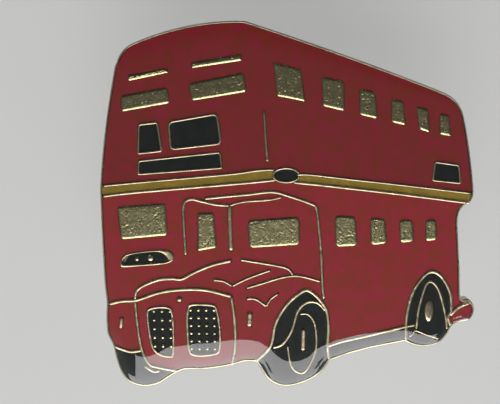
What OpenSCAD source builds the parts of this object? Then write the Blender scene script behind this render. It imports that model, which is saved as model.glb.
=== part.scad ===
// Enamel lapel badge in the shape of a double decker bus, lying face up on its butterfly clutch.
// +Z is out of the face, +Y is up in the picture and +X is to its right.

/* [Plate] */
// Height of the plate's back above the ground under the clutch
back_z = 8; // [7.8:0.1:9]
// Thickness of the struck plate under the raised lines
plate_t = 0.9; // [0.7:0.05:1.4]
// Height of the raised metal lines over the plate
relief_h = 0.3; // [0.25:0.05:0.5]
// Drop from the tops of the lines to the enamel between them
enamel_drop = 0.08; // [0.02:0.01:0.12]
// Width of the metal rim around the badge
rim_w = 0.16; // [0.12:0.01:0.3]

/* [Dome] */
// Height of the clear resin dome at its middle
dome_h = 0.7; // [0.4:0.05:1]
// Distance that the dome stays inside the badge's edge
dome_inset = 0.12; // [0.1:0.02:0.3]

/* [Post] */
// Radius of the post
post_r = 0.55; // [0.5:0.01:0.6]
// Length of the post below the plate's back
post_len = 6.5; // [6.2:0.1:6.8]
// Radius of the post's foot, which is soldered into a recess in the plate
foot_r = 1.1; // [0.9:0.05:1.5]
// Thickness of the post's foot
foot_t = 0.3; // [0.2:0.05:0.4]

/* [Clutch] */
// Gap for the cloth between the plate and the clutch
lapel_gap = 2.4; // [2.1:0.1:2.4]
// Radius of the clutch over its rolled rim
clutch_r = 5.7; // [5.2:0.1:6.2]
// Thickness of the clutch's sheet metal
sheet_t = 0.3; // [0.25:0.05:0.4]
// Outer radius of the clutch's spring housing
housing_r = 2.3; // [2.1:0.1:2.6]
// Width of each spring wing
wing_w = 4.6; // [4.2:0.1:5]
// Thickness of each spring wing
wing_t = 0.3; // [0.25:0.05:0.35]

/* [Hidden] */
$fn = 48;

plate_z = back_z + plate_t;
face_z = plate_z + relief_h;
seam = 0.005;
// Point of the post, and the depth and half height of its groove
tip_z = back_z - post_len;
groove = [0.13, 0.25];
// Level of the clutch's face, of its jaws in the post's groove, of its slots and of its closed end
clutch_z = back_z - lapel_gap;
grip_z = clutch_z - 1.85;
hinge_z = clutch_z - 2.55;
end_z = clutch_z - 4.4;
face_r = clutch_r - 0.4;
hole_r = post_r + 0.13;
end_hole_r = 0.75;
neck_w = 1.6;
slot_gap = 0.2;
// Path of a spring wing: its jaw end, then its neck through the housing's slot, then its curled tip
WING = [
    [post_r + 0.12, grip_z], [1.3, hinge_z + 0.4], [housing_r, hinge_z], [3.1, hinge_z - 0.15],
    [4, hinge_z - 0.75], [4.7, 1.3], [4.85, 0.75], [4.65, 0.28], [4.3, wing_t / 2], [3.95, 0.3]
];
brass = [0.55, 0.5, 0.32];
red = [0.48, 0.13, 0.15];
black = [0.06, 0.08, 0.07];
yellow = [0.72, 0.55, 0.18];

// ---- curves ----

// Arc from a to b that bulges by sag to the left of the way from a to b.
function bow(a, b, sag, n = 8) =
    let (chord = norm(b - a), mid = (a + b) / 2, left = [a.y - b.y, b.x - a.x] / chord)
    let (r = (chord * chord / 4 + sag * sag) / (2 * abs(sag)))
    let (c = mid + left * (sag - sign(sag) * r))
    let (a0 = atan2(a.y - c.y, a.x - c.x), a1 = atan2(b.y - c.y, b.x - c.x))
    let (turn = (a1 - a0 + 540) % 360 - 180)
    [for (i = [0:n]) c + r * [cos(a0 + turn * i / n), sin(a0 + turn * i / n)]];

// Point at t, from 0 to 1, between b and c on the smooth curve through a, b, c and d.
function between(a, b, c, d, t) =
    0.5 * (2 * b + (c - a) * t + (2 * a - 5 * b + 4 * c - d) * t * t
        + (3 * b - 3 * c + d - a) * t * t * t);

// Smooth open curve through the points p, with n steps from each to the next.
function curve(p, n = 3) =
    let (last = len(p) - 1)
    [for (i = [0:last - 1], s = [0:n - 1])
        between(p[max(i - 1, 0)], p[i], p[i + 1], p[min(i + 2, last)], s / n), p[last]];

// Unit vector to the left of the path p at its point i.
function left_of(p, i) =
    let (a = p[max(i - 1, 0)], b = p[min(i + 1, len(p) - 1)])
    [a.y - b.y, b.x - a.x] / norm(b - a);

// Smooth closed curve through the points p, with n steps from each to the next.
function loop(p, n = 3) =
    let (m = len(p))
    [for (i = [0:m - 1], s = [0:n - 1])
        between(p[(i + m - 1) % m], p[i], p[(i + 1) % m], p[(i + 2) % m], s / n)];

// Unit vector to the right of the way from a to b, which is inwards on a clockwise outline.
function right_of(a, b) = [b.y - a.y, a.x - b.x] / norm(b - a);

// Clockwise outline p drawn in by d, with mitred corners.
function drawn_in(p, d) =
    let (m = len(p))
    [for (i = [0:m - 1])
        let (u = right_of(p[(i + m - 1) % m], p[i]), v = right_of(p[i], p[(i + 1) % m]))
        p[i] + d * (u + v) / (1 + u * v)];

// Outline p with its corners rounded: at each, a curve from r before it to r after it.
function rounded(p, r, n = 3) =
    let (m = len(p))
    [for (i = [0:m - 1])
        let (a = p[(i + m - 1) % m] - p[i], b = p[(i + 1) % m] - p[i])
        let (start = p[i] + r * a / norm(a), end = p[i] + r * b / norm(b))
        for (t = [0:1 / n:1]) (1 - t) * (1 - t) * start + 2 * t * (1 - t) * p[i] + t * t * end];

// Outline of a line of width w along the path p.
function band(p, w) = concat(
    [for (i = [0:len(p) - 1]) p[i] + left_of(p, i) * w / 2],
    [for (i = [len(p) - 1:-1:0]) p[i] - left_of(p, i) * w / 2]);

// Oval with centre c and half axes a and b.
function oval(c, a, b, n = 24) = [for (i = [0:n - 1]) c + [a * cos(i * 360 / n), -b * sin(i * 360 / n)]];

// ---- outline of the badge, clockwise from the left end of the waist band ----

outline = concat(
    bow([-12.38, 1], [-11.34, 9], 0.14),
    bow([-11.2, 9.35], [-10.05, 10.6], 0.2, 4),
    bow([-9.6, 10.78], [-3.3, 12], 0.3),
    bow([-2.8, 11.97], [9.6, 7.58], 0.1),
    bow([9.9, 7.45], [11.42, 5.6], 0.35, 6),
    bow([11.5, 5.3], [12.1, 1.1], 0.05, 4),
    curve([[12.1, 0.8], [11.95, 0.32], [11.5, 0.04], [11.2, -0.35], [11.1, -1]]),
    [[11.3, -4], [11.36, -5.9]],
    curve([[11.48, -6.14], [11.94, -6.09], [12.3, -6.7], [12.06, -7.44], [11.4, -7.65], [10.8, -7.95]]),
    curve([[10.6, -8.4], [10, -9.06], [9, -9.3], [8.2, -9.16], [7.8, -8.95]]),
    [[5.5, -9.43], [4, -9.86]],
    curve([[2.84, -10.3], [2.25, -11.12], [1.2, -11.76], [-0.1, -12.06], [-1.2, -11.63], [-2, -10.42]]),
    curve([[-2.8, -10.41], [-3.8, -10.7], [-5.2, -10.94], [-6.7, -11], [-7.3, -11.2]], 2),
    curve([[-7.8, -11.5], [-8.6, -12], [-9.6, -12.16], [-10.6, -11.82], [-11.2, -10.9], [-11.6, -9.4]]),
    curve([[-11.98, -8.6], [-12.04, -7.6], [-12, -6.5]], 2),
    [[-12.14, -5.2], [-12.3, -1.5]]
);

// ---- raised lines: [width, path] ----

band_top_front = curve([[-12.3, 1.24], [-9.9, 1.48], [-4, 2.03], [-2, 2.3], [-0.9, 2.36]]);
band_low_front = curve([[-12.3, 0.56], [-9.9, 0.85], [-4, 1.38], [-2, 1.57], [-0.8, 1.7]]);
band_top_side = curve([[0.6, 2.03], [1.5, 2.03], [4.4, 1.71], [7.5, 1.38], [12, 0.86]]);
band_low_side = curve([[0.35, 1.55], [2.1, 1.38], [4.4, 1.13], [7.5, 0.78], [12, 0.22]]);
windscreen_sweep = curve([[-5.45, 0.45], [-4, 0.6], [-2.6, 0.74], [-1, 0.9], [0.2, 0.6], [1.5, 0.15],
    [1.85, -0.1], [2, -1], [2.2, -3], [2.3, -5], [2.42, -6.15]]);
cab_pillar = curve([[-6.72, -3.3], [-6.82, -1.5], [-6.85, 0], [-6.4, 0.4], [-5.7, 0.28], [-4.8, 0.07], [-3.85, 0]]);
bonnet_left = curve([[-10.1, -6.3], [-9.9, -5.6], [-8.7, -5], [-7.7, -4.87], [-7, -4.9], [-6.3, -4.53],
    [-5.1, -4], [-3.7, -3.64]]);
wing_top = curve([[-12, -6.65], [-11, -6.4], [-10, -6.32], [-8.5, -5.82], [-7, -5.6], [-5.4, -5.62], [-3.7, -6.03]]);
radiator_side = curve([[-3.7, -6.03], [-3.5, -7.5], [-3.43, -9.2], [-3.66, -10.7]]);
wing_side = curve([[-10.1, -6.32], [-9.95, -8], [-9.68, -9.6], [-9.2, -10.6], [-8.6, -10.85], [-7.2, -11.1]]);
wing_foot = curve([[-12, -9.25], [-11.1, -9.6], [-10.4, -9.8], [-9.68, -9.7]]);
front_arch = curve([[-2.1, -10.4], [-1.1, -9.35], [-0.75, -7.8], [0, -6.53], [0.95, -5.7], [1.45, -5.62],
    [2.1, -6.15], [2.6, -6.94], [2.74, -8.1], [2.69, -9.3], [2.8, -10.5]]);
rear_arch = curve([[7.84, -9.2], [7.88, -7.3], [8.2, -5.8], [8.75, -4.85], [9.4, -4.3], [10.1, -4.6], [10.7, -5.7],
    [10.78, -6.88], [10.6, -7.3], [10.85, -8.1]]);
sill_top = curve([[2.7, -9.33], [3.6, -9], [5.2, -8.62], [7.85, -7.95]]);
platform_top = curve([[10.7, -7.2], [11, -6.88], [11.3, -6.62], [11.7, -6.42], [12.02, -6.32]], 2);

LINES = [
    [0.16, band_top_front], [0.2, band_low_front], [0.14, band_top_side], [0.2, band_low_side],
    [0.2, windscreen_sweep], [0.2, cab_pillar], [0.22, bonnet_left], [0.24, wing_top], [0.22, radiator_side],
    [0.2, wing_side], [0.24, wing_foot], [0.24, front_arch], [0.22, rear_arch], [0.22, sill_top],
    [0.26, platform_top], [0.22, [[7.85, -7.95], [8.45, -7.86]]],
    [0.18, curve([[-1.58, 6.12], [-1.46, 4.2], [-1.34, 2.9]])],
    [0.15, curve([[-3.8, 0], [-2.9, 0.25], [-1.2, 0.39], [-0.4, 0.57]])],
    [0.3, curve([[-3.82, 0], [-3.8, -1], [-3.72, -3]])],
    [0.18, curve([[-3.1, -3.58], [-0.9, -3.93], [0, -4.15], [0.38, -4.58]])],
    [0.16, curve([[-2.7, -5.47], [-1.5, -5.1], [-0.3, -4.74], [0.8, -4.64], [2.2, -5]])],
    [0.16, curve([[-4.9, -4.94], [-4.2, -5.03], [-3.64, -5.35]])],
    [0.16, curve([[-3.64, -5.35], [-2.6, -4.82], [-1.1, -4.26]])],
    [0.16, curve([[-2.7, -6.2], [-2.1, -6.2], [-1.37, -6.68]])],
    [0.16, curve([[-1.37, -6.68], [-1.1, -6.2], [-0.58, -5.82]])],
    [0.2, curve([[-0.95, -9.45], [-0.3, -9.2], [0.3, -8.3], [0.7, -7], [1.3, -6.4], [2, -6.42], [2.55, -6.95]])],
    [0.16, curve([[0.84, -7.18], [1.4, -7.2], [1.85, -7.9], [1.92, -9.5], [1.4, -10.8], [0.9, -11.15],
        [0.3, -10.65], [0.04, -9.3]])],
    [0.3, [[1.1, -8.15], [1.07, -9.65]]],
    [0.18, curve([[8.53, -8.1], [8.65, -6.8], [9.1, -5.2], [9.55, -5], [10, -5.65], [10.4, -7.1], [10.53, -8.1]])],
    [0.15, curve([[8.05, -8.64], [8.3, -8.45], [8.47, -8.22], [9.2, -8.48], [10, -8.74]], 2)],
    [0.2, curve([[-9.5, -10.76], [-8.9, -11.13], [-8.45, -11.06]])],
    [0.26, [[-11, -7.47], [-11.08, -8.24]]],
    [0.33, [[-2.46, -7.06], [-2.5, -8.06]]]
];

// ---- raised metal panes: [radius of the corners, corners from the top left, clockwise] ----

PANES = [
    [0.2, [[-10.95, 7.15], [-7.9, 7.72], [-7.72, 6.68], [-10.9, 6.1]]],
    [0.2, [[-6.5, 7.95], [-2.92, 8.67], [-2.7, 7.42], [-6.3, 6.82]]],
    [0.13, [[-10.5, 8.48], [-7.92, 8.95], [-7.8, 8.65], [-10.45, 8.09]]],
    [0.1, [[-6.35, 9.3], [-3.1, 9.85], [-3, 9.42], [-6.3, 8.93]]],
    [0.12, [[-1, 9.33], [0.82, 8.86], [1.1, 6.78], [-0.75, 7.15]]],
    [0.2, [[2.13, 8.42], [3.58, 8.1], [3.67, 6.17], [2.22, 6.5]]],
    [0.2, [[4.59, 7.62], [5.6, 7.45], [5.8, 5.67], [4.62, 5.94]]],
    [0.18, [[6.65, 7], [7.45, 6.83], [7.63, 5.26], [6.7, 5.46]]],
    [0.18, [[8.27, 6.5], [9.04, 6.33], [9.19, 4.79], [8.5, 5.02]]],
    [0.12, [[9.79, 6.04], [10.39, 5.95], [10.57, 4.55], [9.82, 4.7]]],
    [0.25, [[-11.25, -0.1], [-8.05, 0.15], [-7.9, -2], [-11, -2.3]]],
    [0.18, [[-5.95, -0.5], [-4.86, -0.45], [-4.66, -2.8], [-5.95, -3.05]]],
    [0.32, [[-2.65, -0.95], [0.78, -0.7], [0.83, -2.57], [-2.5, -2.82]]],
    [0.3, [[3.07, -0.62], [4.45, -0.65], [4.6, -2.62], [3.16, -2.7]]],
    [0.28, [[5.38, -0.75], [6.36, -0.8], [6.54, -2.45], [5.47, -2.58]]],
    [0.26, [[7.29, -0.85], [8.16, -0.85], [8.3, -2.3], [7.38, -2.43]]],
    [0.24, [[9, -0.85], [9.7, -0.85], [9.8, -2.2], [9.03, -2.3]]]
];

// ---- framed cells: [outer edge, inner edge] of each frame, clockwise ----

// Frame of width w inside the outline p
function framed(p, w) = [p, drawn_in(p, w)];

SIGNS = [
    framed(rounded([[-9.85, 5.35], [-8.5, 5.5], [-8.2, 3.5], [-9.9, 3.3]], 0.22), 0.16),
    framed(rounded([[-7.9, 5.5], [-4.6, 6.08], [-4.3, 3.98], [-7.75, 3.58]], 0.4), 0.16),
    framed(rounded([[-9.85, 2.95], [-4.4, 3.55], [-4.25, 2.4], [-9.9, 1.95]], 0.2), 0.14),
    framed(rounded([[9.5, 2.98], [11.15, 2.75], [11.3, 1.45], [9.35, 1.65]], 0.2), 0.14)
];
EMBLEMS = [
    framed(oval([-0.12, 2], 0.92, 0.53), 0.14),
    [loop([[-11.06, -4], [-10.85, -3.4], [-10.3, -3.2], [-8.4, -2.96], [-7.7, -3.05], [-7.5, -3.5],
            [-8, -3.88], [-9.9, -4.07], [-10.8, -4.14]]),
        [[-10.8, -3.93], [-10.5, -3.34], [-8.56, -3.1], [-7.89, -3.6], [-8.15, -3.78]]]
];
GRILLES = [
    framed(loop([[-9.36, -7.4], [-9.25, -6.9], [-8.5, -6.7], [-7.72, -6.82], [-7.52, -7.5], [-7.46, -8.9],
        [-7.52, -10.05], [-7.9, -10.2], [-8.5, -10.05], [-8.95, -9.65], [-9.2, -8.8]]), 0.18),
    framed(loop([[-6.72, -7.5], [-6.6, -6.72], [-6.3, -6.53], [-5.6, -6.5], [-4.85, -6.58], [-4.6, -6.9],
        [-4.4, -8], [-4.36, -9.3], [-4.5, -9.85], [-4.9, -10.02], [-5.7, -10.12], [-6.35, -10.02],
        [-6.6, -9.6], [-6.7, -8.6]]), 0.18)
];
// Studs on the grilles: [first column, last column, columns, first row, last row, rows] as x and y values.
STUD_R = 0.13;
STUDS = [[-8.85, -7.77, 3, -7.05, -9.4, 5], [-6.4, -4.85, 4, -6.95, -9.55, 6]];
// Single studs: [x, y, radius]
DOTS = [[-9.95, -3.57, 0.16], [-9.05, -3.5, 0.24], [-7.15, -6.25, 0.2]];
hub_plate = oval([9.33, -6.88], 0.3, 0.75);

// ---- flat drawings of the relief and of the regions that each colour fills ----

module rim_2d() {
    difference() {
        polygon(outline);
        offset(delta = -rim_w) polygon(outline);
    }
}
module frames_2d(frames) {
    for (f = frames) difference() {
        polygon(f[0]);
        polygon(f[1]);
    }
}
module studs_2d() {
    for (s = STUDS, i = [0:s[2] - 1], j = [0:s[5] - 1])
        translate([s[0] + (s[1] - s[0]) * i / (s[2] - 1) + 0.03 * j, s[3] + (s[4] - s[3]) * j / (s[5] - 1)])
            circle(STUD_R, $fn = 8);
    for (d = DOTS) translate([d[0], d[1]]) circle(d[2], $fn = 12);
}
module relief_2d() {
    offset(delta = seam) intersection() {
        polygon(outline);
        union() {
            rim_2d();
            for (l = LINES) polygon(band(l[1], l[0]));
            for (p = PANES) polygon(rounded(p[1], p[0], 2));
            frames_2d(SIGNS);
            frames_2d(EMBLEMS);
            frames_2d(GRILLES);
            polygon(hub_plate);
            studs_2d();
        }
    }
}
module inside_2d(frames) {
    for (f = frames) offset(delta = 0.05) polygon(f[1]);
}
module above_waist_2d() {
    polygon(concat(band_top_front, band_top_side, [[14, 1], [14, 14], [-14, 14], [-14, 1]]));
}
module front_wheel_2d() {
    polygon(concat(front_arch, [[2.8, -13], [-2.1, -13]]));
}
module rear_wheel_2d() {
    polygon(concat(rear_arch, [[10.9, -10], [7.84, -10]]));
}
module left_wheel_2d() {
    polygon(concat(wing_foot, [for (p = wing_side) if (p.y < -9.7) p], [[-7.2, -13], [-13, -13], [-13, -9.2]]));
}
module sill_2d() {
    polygon(concat(sill_top, [[7.85, -10], [2.8, -11]]));
}
module below_wing_top_2d() {
    polygon(concat(wing_top, radiator_side, [[-3.7, -13], [-14, -13], [-14, -6.7]]));
}
module platform_2d() {
    polygon(concat(platform_top, [[13, -6], [13, -9], [10.85, -8.1], [10.6, -7.3]]));
}
module side_2d() {
    polygon(concat([for (p = windscreen_sweep) if (p.x > 1.4) p],
        [[2.6, -6.94], [2.74, -8.1], [2.69, -9.4], [14, -9.4], [14, 0], [12, 0.22]],
        [for (i = [len(band_low_side) - 1:-1:0]) if (band_low_side[i].x > 1) band_low_side[i]]));
}
// Enamel that fills the region drawn by the children, between the raised lines
module enamel(colour) {
    color(colour) translate([0, 0, plate_z]) linear_extrude(relief_h - enamel_drop)
        offset(delta = -seam) difference() {
            intersection() {
                polygon(outline);
                union() children();
            }
            relief_2d();
        }
}

// ---- pieces ----

module base_plate() {
    color(brass) difference() {
        union() {
            translate([0, 0, back_z]) linear_extrude(plate_t) polygon(outline);
            translate([0, 0, plate_z - 0.1]) linear_extrude(relief_h + 0.1) relief_2d();
        }
        translate([0, 0, back_z - 1]) cylinder(foot_t + 1, foot_r, foot_r);
    }
}
module red_enamel_upper_deck() {
    enamel(red) difference() {
        above_waist_2d();
        inside_2d(SIGNS);
        inside_2d(EMBLEMS);
    }
}
module below_waist_2d() {
    polygon(concat(band_low_front, band_low_side, [[14, 0], [14, -14], [-14, -14], [-14, 0.5]]));
}
// The front and side cells meet without a line above the cab, with a gap too narrow to see
module red_enamel_front() {
    enamel(red) difference() {
        below_waist_2d();
        offset(delta = -1.8 * seam) side_2d();
        below_wing_top_2d();
        front_wheel_2d();
        rear_wheel_2d();
        sill_2d();
        left_wheel_2d();
        platform_2d();
        inside_2d(EMBLEMS);
    }
}
module red_enamel_side() {
    enamel(red) difference() {
        side_2d();
        front_wheel_2d();
        rear_wheel_2d();
        sill_2d();
        platform_2d();
    }
}
module red_enamel_wings() {
    enamel(red) difference() {
        below_wing_top_2d();
        inside_2d(GRILLES);
        left_wheel_2d();
    }
}
module red_enamel_platform() {
    enamel(red) platform_2d();
}
module black_enamel_signs() {
    enamel(black) inside_2d(SIGNS);
}
module black_enamel_emblems() {
    enamel(black) inside_2d(EMBLEMS);
}
module black_enamel_grilles() {
    enamel(black) inside_2d(GRILLES);
}
module black_enamel_wheels() {
    enamel(black) {
        front_wheel_2d();
        rear_wheel_2d();
        left_wheel_2d();
    }
}
module black_enamel_sill() {
    enamel(black) sill_2d();
}
module yellow_enamel_front_band() {
    enamel(yellow) difference() {
        polygon(concat(band_top_front, [for (i = [len(band_low_front) - 1:-1:0]) band_low_front[i]]));
        inside_2d(EMBLEMS);
    }
}
module yellow_enamel_side_band() {
    enamel(yellow) difference() {
        polygon(concat(band_top_side, [for (i = [len(band_low_side) - 1:-1:0]) band_low_side[i]]));
        inside_2d(EMBLEMS);
    }
}
// Each layer is drawn in from the edge by its first value and reaches its second, as a share of the height.
DOME_LAYERS = [[0, 0.3], [0.12, 0.52], [0.35, 0.74], [0.8, 0.9], [1.6, 1]];
module clear_dome() {
    color([0.9, 0.95, 0.95, 0.3]) for (layer = DOME_LAYERS)
        translate([0, 0, face_z]) linear_extrude(dome_h * layer[1])
            offset(delta = -dome_inset - layer[0]) polygon(outline);
}
module post() {
    color("goldenrod") rotate_extrude() polygon([
        [0, back_z + foot_t], [foot_r, back_z + foot_t], [foot_r, back_z], [post_r, back_z],
        [post_r, grip_z + groove.y], [post_r - groove.x, grip_z], [post_r - 0.03, grip_z - groove.y],
        [post_r - 0.1, tip_z + 0.8], [0.12, tip_z], [0, tip_z]
    ]);
}
module clutch_face() {
    color("goldenrod") translate([0, 0, clutch_z - sheet_t]) difference() {
        cylinder(sheet_t, face_r, face_r);
        translate([0, 0, -1]) cylinder(sheet_t + 2, hole_r, hole_r);
    }
}

// Pressed shell: rolled rim, dished flange and spring housing
module clutch_shell() {
    rim_z = clutch_z - sheet_t;
    flange_z = clutch_z - 1.05;
    inner_r = housing_r - sheet_t;
    color("darkgoldenrod") difference() {
        rotate_extrude() polygon([
            [end_hole_r, end_z], [housing_r - 0.5, end_z], [housing_r - 0.1, end_z + 0.3], [housing_r, end_z + 0.8],
            [housing_r, flange_z - 0.3], [housing_r + 0.3, flange_z], [face_r, rim_z - 0.45],
            [clutch_r - 0.08, rim_z - 0.3], [clutch_r, rim_z - 0.1], [clutch_r - 0.08, clutch_z - 0.08],
            [clutch_r - 0.25, clutch_z], [face_r, clutch_z], [face_r, rim_z], [face_r - 0.4, rim_z],
            [inner_r + 0.45, flange_z + sheet_t], [inner_r, flange_z - 0.15], [inner_r, end_z + 0.9],
            [inner_r - 0.5, end_z + sheet_t], [end_hole_r, end_z + sheet_t]
        ]);
        for (side = [-1, 1])
            translate([side * housing_r, 0, hinge_z])
                cube([1.4, neck_w + 2 * slot_gap, wing_t + 4 * slot_gap], center = true);
    }
}

module wing_plan_2d() {
    translate([0, -neck_w / 2]) square([3, neck_w]);
    translate([3.1 + wing_w / 2 - 0.5, 0]) circle(wing_w / 2);
    translate([4, -wing_w / 2]) square([1.2, wing_w]);
}
module wing() {
    intersection() {
        rotate([90, 0, 0]) linear_extrude(wing_w, center = true) polygon(band(curve(WING), wing_t));
        translate([0, 0, -1]) linear_extrude(back_z) wing_plan_2d();
    }
}
module wing_left() {
    color("gold") mirror([1, 0, 0]) wing();
}
module wing_right() {
    color("gold") wing();
}

base_plate();
red_enamel_upper_deck();
red_enamel_front();
red_enamel_side();
red_enamel_wings();
red_enamel_platform();
black_enamel_signs();
black_enamel_emblems();
black_enamel_grilles();
black_enamel_wheels();
black_enamel_sill();
yellow_enamel_front_band();
yellow_enamel_side_band();
clear_dome();
post();
clutch_face();
clutch_shell();
wing_left();
wing_right();
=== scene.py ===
"""Visible surfaces of an enamel lapel badge with a butterfly clutch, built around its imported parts."""
import math

import bmesh
import bpy
import numpy as np
from bpy.props import FloatProperty, FloatVectorProperty, PointerProperty
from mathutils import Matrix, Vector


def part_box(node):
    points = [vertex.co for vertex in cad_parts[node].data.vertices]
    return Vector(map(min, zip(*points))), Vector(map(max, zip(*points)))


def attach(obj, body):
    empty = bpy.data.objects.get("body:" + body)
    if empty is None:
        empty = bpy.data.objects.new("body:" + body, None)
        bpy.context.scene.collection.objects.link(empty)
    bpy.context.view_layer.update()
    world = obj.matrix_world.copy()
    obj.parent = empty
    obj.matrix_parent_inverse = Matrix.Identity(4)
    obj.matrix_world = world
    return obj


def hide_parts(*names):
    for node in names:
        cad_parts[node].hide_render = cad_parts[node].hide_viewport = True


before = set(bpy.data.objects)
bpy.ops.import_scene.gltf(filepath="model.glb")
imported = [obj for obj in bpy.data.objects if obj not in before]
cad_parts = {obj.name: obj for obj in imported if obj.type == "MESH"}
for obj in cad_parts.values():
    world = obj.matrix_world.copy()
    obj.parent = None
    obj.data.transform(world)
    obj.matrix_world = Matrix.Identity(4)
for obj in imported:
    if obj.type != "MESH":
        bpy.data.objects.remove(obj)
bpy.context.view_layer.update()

bl_info = {
    "name": "Enamel Lapel Badge",
    "version": (1, 0, 0),
    "blender": (4, 5, 0),
    "location": "View3D > Sidebar > Badge",
    "description": "Struck and enamelled lapel badge with a clear dome, a post and a butterfly clutch",
    "category": "Add Mesh",
}

# Lengths below are in millimetres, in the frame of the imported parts. Meshes are in metres.
MM = 0.001


def level(node, corner, axis=2):
    """Height, or other coordinate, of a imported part's lowest (0) or highest (1) corner, in millimetres."""
    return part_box(node)[corner][axis] / MM


BACK_Z = level("base_plate", 0)
FACE_Z = level("base_plate", 1)
BED_Z = level("red_enamel_upper_deck", 0)
# Raised lines and panes start a little below the bed
SUNK_Z = BED_Z - 0.02
LINE_HEIGHT = FACE_Z - SUNK_Z
ENAMEL_Z = level("red_enamel_upper_deck", 1)
DOME_Z = level("clear_dome", 1)
CLUTCH_Z = level("clutch_face", 1)
TIP_Z = level("post", 0)


# ---- curves


def between(a, b, c, d, t):
    """Catmull-Rom curve from b to c: half of 2b + (c-a)t + (2a-5b+4c-d)t^2 + (3b-3c+d-a)t^3."""
    square, cube = 2 * a - 5 * b + 4 * c - d, 3 * b - 3 * c + d - a
    return 0.5 * (2 * b + (c - a) * t + square * t**2 + cube * t**3)


def unit(ways):
    """Vectors brought to a length of 1."""
    return ways / np.linalg.norm(ways, axis=-1, keepdims=True)


def turned(start, corner, end, steps):
    """Rounded corners: the curves (1-t)^2 start + 2t(1-t) corner + t^2 end, one for each corner."""
    t = np.linspace(0, 1, steps + 1)[None, :, None]
    return (1 - t) ** 2 * start[:, None] + 2 * t * (1 - t) * corner[:, None] + t**2 * end[:, None]


def curve(points, steps=6):
    """Catmull-Rom curve through points, with the end points doubled."""
    p = np.array(points, float)
    q = np.vstack([p[:1], p, p[-1:]])
    t = np.arange(steps)[None, :, None] / steps
    spans = between(q[:-3, None], q[1:-2, None], q[2:-1, None], q[3:, None], t)
    return np.vstack([spans.reshape(-1, 2), p[-1:]])


def loop(points, steps=6):
    """Closed Catmull-Rom curve through points."""
    p = np.array(points, float)
    t = np.arange(steps)[None, :, None] / steps
    ring = [np.roll(p, shift, 0)[:, None] for shift in (1, 0, -1, -2)]
    return between(*ring, t).reshape(-1, 2)


def bow(a, b, sag, steps=12):
    """Arc from a to b that bulges by sag to the left: the circle of radius (chord^2/4 + sag^2) / 2 sag."""
    a, b = np.array(a, float), np.array(b, float)
    chord = np.linalg.norm(b - a)
    left = np.array([a[1] - b[1], b[0] - a[0]]) / chord
    radius = (chord**2 / 4 + sag**2) / (2 * sag)
    centre = (a + b) / 2 + left * (sag - radius)
    start = math.atan2(*(a - centre)[::-1])
    turn = -2 * math.asin(min(1.0, chord / 2 / radius))
    angle = start + turn * np.linspace(0, 1, steps + 1)
    return centre + radius * np.stack([np.cos(angle), np.sin(angle)], 1)


def lengths(path, closed=False):
    """Distance along a path at each point, and at the end of the closing stretch."""
    p = np.vstack([path, path[:1]]) if closed else path
    return np.concatenate([[0], np.cumsum(np.linalg.norm(np.diff(p, axis=0), axis=1))])


def at_lengths(path, where, closed=False):
    """Points of a path at the given distances along it, by straight interpolation."""
    p = np.vstack([path, path[:1]]) if closed else path
    along = lengths(path, closed)
    return np.stack([np.interp(where, along, p[:, i]) for i in range(p.shape[1])], 1)


def even(path, count, closed=False):
    """A path with points at even distances."""
    total = lengths(path, closed)[-1]
    return at_lengths(path, np.linspace(0, total, count, endpoint=not closed), closed)


def softened(path, reach):
    """Closed path of even spacing, averaged along itself with a bell curve of the given reach."""
    step = lengths(path, True)[-1] / len(path)
    wave = np.fft.fftfreq(len(path), step)
    bell = np.exp(-2 * (math.pi * wave * reach) ** 2)[:, None]
    return np.fft.ifft(np.fft.fft(path, axis=0) * bell, axis=0).real


def left_normals(path, closed=False):
    """Unit vector to the left of a path at each point, from its neighbours."""
    if closed:
        way = np.roll(path, -1, 0) - np.roll(path, 1, 0)
    else:
        way = np.gradient(path, axis=0)
    way = unit(way)
    return np.stack([-way[:, 1], way[:, 0]], 1)


def rounded(corners, radius, steps=4, straight=3):
    """Polygon with rounded corners, each turned from radius before it to radius after it."""
    p = np.array(corners, float)
    turn = turned(p + unit(np.roll(p, 1, 0) - p) * radius, p, p + unit(np.roll(p, -1, 0) - p) * radius, steps)
    s = (np.arange(1, straight + 1) / (straight + 1))[None, :, None]
    side = turn[:, -1:] * (1 - s) + np.roll(turn[:, :1], -1, 0) * s
    return np.concatenate([turn, side], 1).reshape(-1, 2)


def drawn_in(corners, by):
    """Clockwise polygon drawn in by a distance, with mitred corners."""
    p = np.array(corners, float)
    way = unit(np.roll(p, -1, 0) - p)
    right = np.stack([way[:, 1], -way[:, 0]], 1)
    last = np.roll(right, 1, 0)
    return p + by * (last + right) / (1 + (last * right).sum(1, keepdims=True))


def wander(count, reach, seed):
    """Smooth random row of numbers of about -1 to 1: white noise averaged with a bell curve."""
    noise = np.random.default_rng(seed).normal(size=count + 8 * reach)
    x = np.arange(-4 * reach, 4 * reach + 1) / reach
    bell = np.exp(-x * x / 2)
    return np.convolve(noise, bell / np.sqrt((bell**2).sum()), "same")[4 * reach : 4 * reach + count] / 2


def grain(x, y, size, seed):
    """Smooth random field over x and y: values on a lattice, eased by 3t^2 - 2t^3 between its knots."""
    table = np.random.default_rng(seed).uniform(-1, 1, (257, 257))
    u, v = x / size + 100.37, y / size + 100.71
    i, j = np.floor(u).astype(int), np.floor(v).astype(int)
    fu, fv = u - i, v - j
    fu, fv = fu * fu * (3 - 2 * fu), fv * fv * (3 - 2 * fv)
    i, j = i % 256, j % 256
    low = table[i, j] * (1 - fu) + table[i + 1, j] * fu
    high = table[i, j + 1] * (1 - fu) + table[i + 1, j + 1] * fu
    return low * (1 - fv) + high * fv


# ---- meshes


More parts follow.
